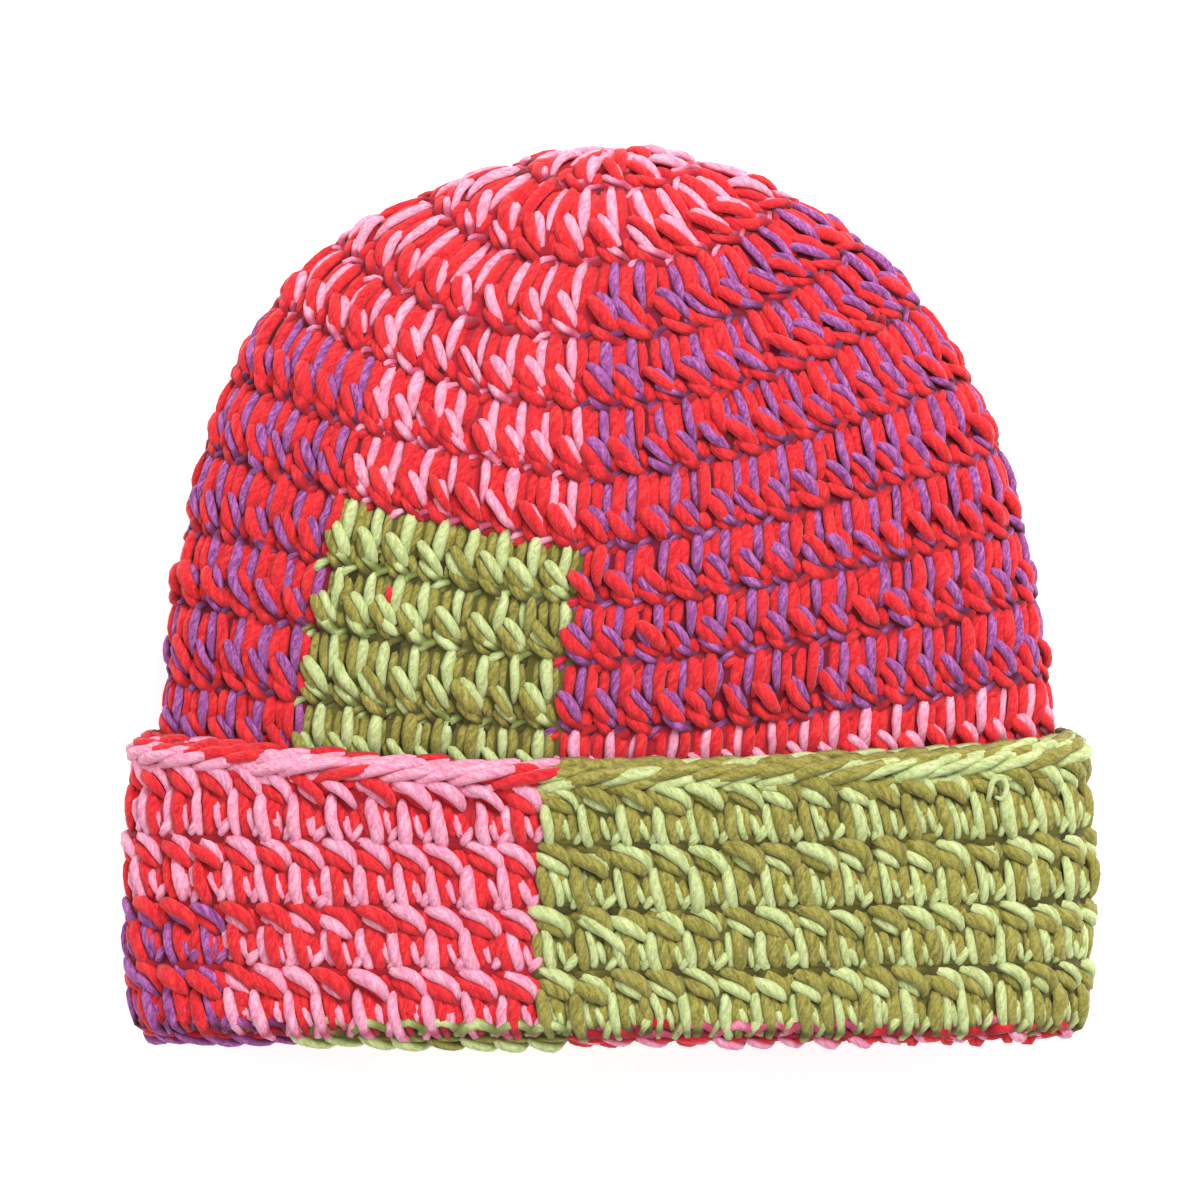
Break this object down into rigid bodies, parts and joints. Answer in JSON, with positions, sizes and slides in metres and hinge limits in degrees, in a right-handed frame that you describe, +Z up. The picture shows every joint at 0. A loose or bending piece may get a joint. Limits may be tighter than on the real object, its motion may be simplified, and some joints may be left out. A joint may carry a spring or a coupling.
{
  "type": "crocheted patchwork beanie",
  "caption": "Chunky crocheted beanie with a turned-up cuff, in patches of red, pink, purple and green marl yarn, lying flat with its mouth open.",
  "frame": {"origin": "middle of the lying hat's footprint, on the surface that it rests on", "axes": "+X to the right over the front, +Y from the mouth to the crown, +Z up out of the front face"},
  "size_m": [0.247, 0.227, 0.0524],
  "materials": {
    "marl_red_pink": "matt acrylic and wool yarn, red and pink worked together",
    "marl_red_purple": "matt acrylic and wool yarn, red and purple worked together",
    "marl_green": "matt acrylic and wool yarn, olive and pale green worked together"
  },
  "bodies": {
    "root": {"crown_top": "marl_red_pink", "crown_left": "marl_red_pink", "front_pink": "marl_red_pink", "right_purple": "marl_red_purple", "left_purple": "marl_red_purple", "front_green": "marl_green", "right_pink_row": "marl_red_pink", "back_pink": "marl_red_pink", "back_green": "marl_green", "hem_purple": "marl_red_purple", "hem_green": "marl_green", "hem_pink": "marl_red_pink", "hem_back_green": "marl_green", "cuff_purple": "marl_red_purple", "cuff_pink_front": "marl_red_pink", "cuff_pink_back": "marl_red_pink", "cuff_pink_upper": "marl_red_pink", "cuff_green": "marl_green", "rim_pink": "marl_red_pink", "rim_green": "marl_green"}
  },
  "joints": []
}
